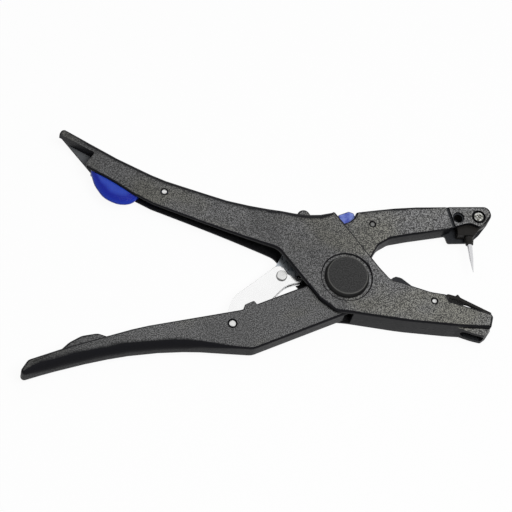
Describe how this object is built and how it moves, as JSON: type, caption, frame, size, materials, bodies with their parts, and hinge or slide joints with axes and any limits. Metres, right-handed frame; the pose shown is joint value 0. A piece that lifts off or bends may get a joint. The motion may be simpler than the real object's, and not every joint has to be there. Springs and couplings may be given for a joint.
{
  "type": "ear tag applicator",
  "caption": "Hand-held livestock ear tag applicator with handles, a hinged upper jaw carrying a steel needle, a slotted lower jaw with a spring clip, a steel knee link and a release trigger.",
  "frame": {"origin": "main pivot axis at the plane of the head's rear face and the pivot rivet's flat rear head", "axes": "+X towards the jaws, +Y towards the upper handle, +Z out of the front face, along the main pivot"},
  "size_m": [0.259, 0.1446, 0.0194],
  "materials": {
    "moulded_nylon": "fine spark-eroded texture",
    "cap_plastic": "smooth satin",
    "blue_plastic": "smooth gloss",
    "black_steel": "black oxide",
    "polished_steel": "polished",
    "needle_steel": "ground and polished",
    "spring_steel": "drawn wire"
  },
  "bodies": {
    "frame": {"frame_body": "moulded_nylon", "pivot_pin": "polished_steel", "pivot_retainer": "polished_steel", "pivot_cap": "cap_plastic", "thrust_washer_front": "polished_steel", "thrust_washer_rear": "polished_steel", "jaw_spring": "spring_steel", "trigger_pin": "polished_steel", "tag_clip": "black_steel", "clip_pin": "polished_steel"},
    "lever": {"lower_handle": "moulded_nylon", "link_pin": "polished_steel", "link_spacer": "polished_steel"},
    "jaw": {"upper_jaw": "moulded_nylon", "tail_pin": "polished_steel", "latch_pin": "black_steel", "needle_holder": "black_steel", "needle": "needle_steel", "needle_collar": "black_steel", "needle_screw": "polished_steel", "needle_nut": "polished_steel"},
    "strut": {"link_plate_front": "polished_steel", "link_plate_rear": "polished_steel", "knee_rivet": "polished_steel"},
    "knee": {"knee_link": "black_steel"},
    "trigger": {"release_trigger": "blue_plastic", "trigger_spring": "spring_steel"},
    "latch": {"latch_lever": "blue_plastic", "latch_spring": "spring_steel"}
  },
  "joints": [
    {"name": "handle_squeeze", "type": "hinge", "parent": "frame", "child": "lever", "pos_m": [0, 0, 0.0085], "axis": [0, 0, -1], "range_deg": [0, 30], "stiffness_Nm_per_rad": 0.5, "springref_deg": -17.19, "deforming": ["jaw_spring"]},
    {"name": "jaw_release", "type": "hinge", "parent": "lever", "child": "jaw", "pos_m": [0, 0, 0.0085], "axis": [0, 0, 1], "range_deg": [0, 20]},
    {"name": "strut_fold", "type": "hinge", "parent": "lever", "child": "strut", "pos_m": [-0.0629, -0.028, 0.0085], "axis": [0, 0, 1], "range_deg": [-23.2, 0.2]},
    {"name": "knee_fold", "type": "hinge", "parent": "strut", "child": "knee", "pos_m": [-0.0348, 0.002, 0.0085], "axis": [0, 0, 1], "range_deg": [-0.2, 58]},
    {"name": "trigger_press", "type": "hinge", "parent": "frame", "child": "trigger", "pos_m": [-0.098, 0.0491, 0.0085], "axis": [0, 0, -1], "range_deg": [0, 5], "stiffness_Nm_per_rad": 0.05, "springref_deg": -11.46, "deforming": ["trigger_spring"]},
    {"name": "latch_press", "type": "hinge", "parent": "jaw", "child": "latch", "pos_m": [0.0166, 0.0336, 0.0085], "axis": [0, 0, 1], "range_deg": [0, 8], "stiffness_Nm_per_rad": 0.01, "springref_deg": -11.46, "deforming": ["latch_spring"]}
  ],
  "couplings": [
    {"joint": "strut_fold", "follows": "jaw_release", "ratio": -1.15},
    {"joint": "knee_fold", "follows": "jaw_release", "ratio": 2.88}
  ]
}
